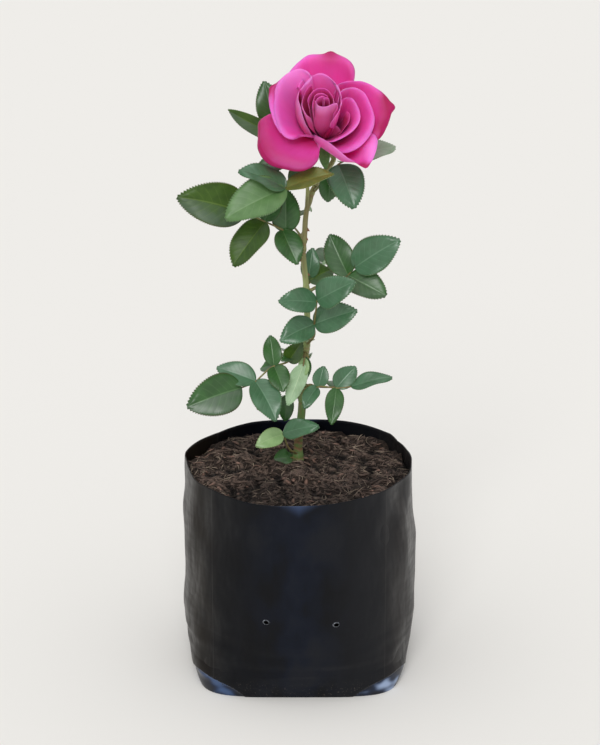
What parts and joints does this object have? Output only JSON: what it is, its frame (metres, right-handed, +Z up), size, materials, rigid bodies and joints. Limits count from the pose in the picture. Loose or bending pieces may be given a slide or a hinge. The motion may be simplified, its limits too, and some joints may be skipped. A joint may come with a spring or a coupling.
{
  "type": "potted rose bush",
  "caption": "Garden rose in a black film grow bag: a slender green cane with compound leaves, ending in a large open pink bloom.",
  "frame": {"origin": "middle of the grow bag's flat underside, where the bag rests on the ground", "axes": "+Z up along the cane, +X to the right and +Y away from the viewer of the picture's front"},
  "size_m": [0.189, 0.188, 0.4901],
  "materials": {
    "bag_film": "satin black polyethylene film",
    "potting_mix": "loose coir fibre and bark chips",
    "cane_bark": "smooth green bark with a few prickles",
    "calyx": "matte green",
    "petals": "velvety pink petals",
    "foliage": "waxy green leaflets"
  },
  "bodies": {
    "root": {"grow_bag": "bag_film", "potting_mix": "potting_mix", "cane": "cane_bark", "leafy_shoot": "cane_bark", "hip": "calyx", "bloom": "petals", "leaf_upper_left": "foliage", "leaf_bloom_left": "foliage", "leaf_bloom_behind_left": "foliage", "leaf_bloom_right": "foliage", "leaf_bloom_behind_right": "foliage", "leaf_upper_back": "foliage", "leaf_middle_right": "foliage", "leaf_middle_back": "foliage", "leaf_middle_front": "foliage", "leaf_lower_left": "foliage", "leaf_lower_hanging": "foliage", "leaf_lower_behind": "foliage", "leaf_lower_right": "foliage", "leaf_low_right_back": "foliage", "leaf_low_left_back": "foliage", "leaf_base_front": "foliage", "leaf_base_left": "foliage"}
  },
  "joints": []
}
